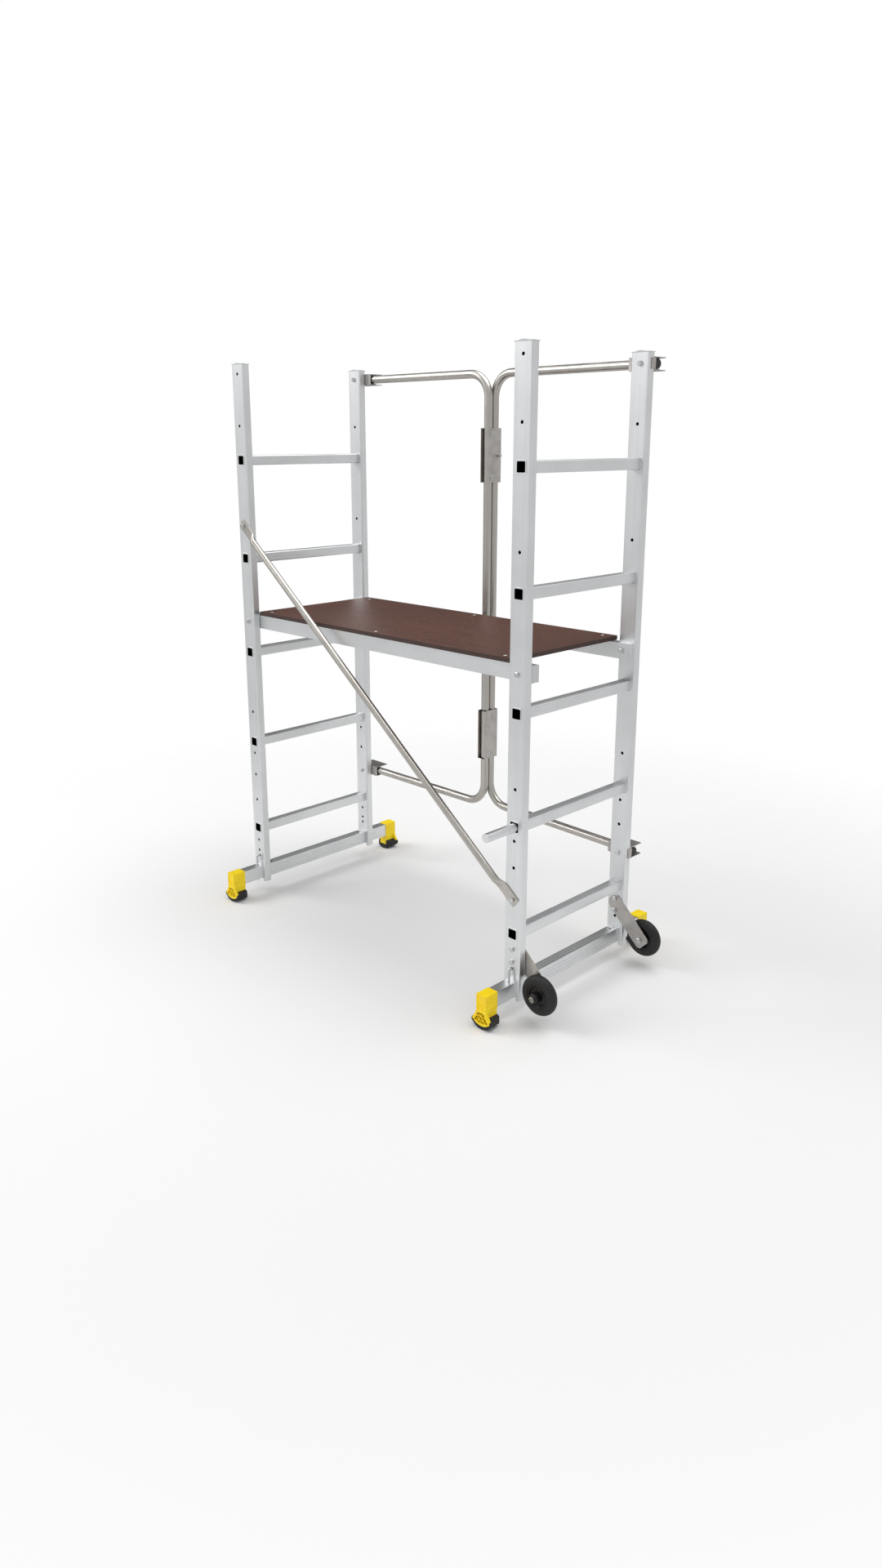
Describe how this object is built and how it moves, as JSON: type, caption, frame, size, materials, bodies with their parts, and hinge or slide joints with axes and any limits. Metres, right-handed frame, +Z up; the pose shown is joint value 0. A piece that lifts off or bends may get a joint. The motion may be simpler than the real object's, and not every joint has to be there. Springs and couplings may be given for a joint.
{
  "type": "baker scaffold",
  "caption": "Mobile aluminium baker scaffold: two ladder frames on footed crossbars, a plywood platform, a diagonal brace, a folding steel guard and a pair of wheels.",
  "frame": {"origin": "on the floor, in the middle of the scaffold's plan, wheels and feet included", "axes": "+Z up; X from the ladder frame without wheels towards the one with wheels; Y from the brace at the front towards the guard at the back"},
  "size_m": [1.3164, 0.727, 1.7159],
  "materials": {
    "aluminium_extrusion": "satin, as extruded",
    "black_plastic": "satin",
    "black_rubber": "matt",
    "film_faced_plywood": "smooth phenolic film",
    "galvanised_steel": "satin zinc",
    "light_plastic": "satin",
    "wheel_plastic": "satin",
    "wheel_rubber": "matt",
    "yellow_plastic": "moulded, satin",
    "zinc_plated": "bright zinc"
  },
  "bodies": {
    "scaffold": {"brace_bolts": "zinc_plated", "crossbar_left": "aluminium_extrusion", "crossbar_pins": "zinc_plated", "crossbar_right": "aluminium_extrusion", "deck_screws": "zinc_plated", "diagonal_brace": "galvanised_steel", "foot_boot_left_front": "yellow_plastic", "foot_boot_left_rear": "yellow_plastic", "foot_boot_right_front": "yellow_plastic", "foot_boot_right_rear": "yellow_plastic", "foot_sole_left_front": "black_rubber", "foot_sole_left_rear": "black_rubber", "foot_sole_right_front": "black_rubber", "foot_sole_right_rear": "black_rubber", "guard_bracket_bolts": "zinc_plated", "guard_bracket_left_lower": "galvanised_steel", "guard_bracket_left_upper": "galvanised_steel", "guard_bracket_right_lower": "galvanised_steel", "guard_bracket_right_upper": "galvanised_steel", "guard_clips": "black_plastic", "platform_bolts": "zinc_plated", "platform_deck": "film_faced_plywood", "platform_nuts": "zinc_plated", "platform_rail_front": "aluminium_extrusion", "platform_rail_rear": "aluminium_extrusion", "rail_caps": "light_plastic", "rung_left_1": "aluminium_extrusion", "rung_left_2": "aluminium_extrusion", "rung_left_3": "aluminium_extrusion", "rung_left_4": "aluminium_extrusion", "rung_left_5": "aluminium_extrusion", "rung_right_1": "aluminium_extrusion", "rung_right_2": "aluminium_extrusion", "rung_right_3": "aluminium_extrusion", "rung_right_4": "aluminium_extrusion", "rung_right_5": "aluminium_extrusion", "stile_caps": "light_plastic", "stile_left_front": "aluminium_extrusion", "stile_left_rear": "aluminium_extrusion", "stile_right_front": "aluminium_extrusion", "stile_right_rear": "aluminium_extrusion", "wheel_axles": "zinc_plated", "wheel_bracket_bolts": "zinc_plated", "wheel_bracket_front": "galvanised_steel", "wheel_bracket_rear": "galvanised_steel"},
    "wheel_front": {"wheel_tyre_front": "wheel_rubber", "wheel_hub_front": "wheel_plastic"},
    "wheel_rear": {"wheel_tyre_rear": "wheel_rubber", "wheel_hub_rear": "wheel_plastic"},
    "guard_left": {"guard_left_tube": "galvanised_steel", "guard_left_plugs": "black_plastic", "hinge_channel_upper": "galvanised_steel", "hinge_channel_lower": "galvanised_steel", "hinge_rivets": "zinc_plated", "lock_bush": "zinc_plated"},
    "guard_right": {"guard_right_tube": "galvanised_steel", "guard_right_plugs": "black_plastic"},
    "lock_plunger": {"lock_plunger": "zinc_plated"},
    "rung_peg": {"rung_peg": "aluminium_extrusion"}
  },
  "joints": [
    {"name": "wheel_front_spin", "type": "hinge", "parent": "scaffold", "child": "wheel_front", "pos_m": [0.60325, -0.2368, 0.085], "axis": [0, 1, 0], "continuous": true},
    {"name": "wheel_rear_spin", "type": "hinge", "parent": "scaffold", "child": "wheel_rear", "pos_m": [0.60325, 0.2368, 0.085], "axis": [0, 1, 0], "continuous": true},
    {"name": "guard_unclip", "type": "slide", "parent": "scaffold", "child": "guard_left", "axis": [0, 1, 0], "range_m": [0, 0.12]},
    {"name": "guard_fold", "type": "hinge", "parent": "guard_left", "child": "guard_right", "pos_m": [-0.05675, 0.2876, 1], "axis": [0, 0, 1], "range_deg": [0, 175]},
    {"name": "lock_pull", "type": "slide", "parent": "guard_left", "child": "lock_plunger", "axis": [1, 0, 0], "range_m": [0, 0.005], "stiffness_N_per_m": 400, "springref_m": -0.004},
    {"name": "peg_slide", "type": "slide", "parent": "scaffold", "child": "rung_peg", "axis": [0, 1, 0], "range_m": [-0.08, 0.105]}
  ]
}
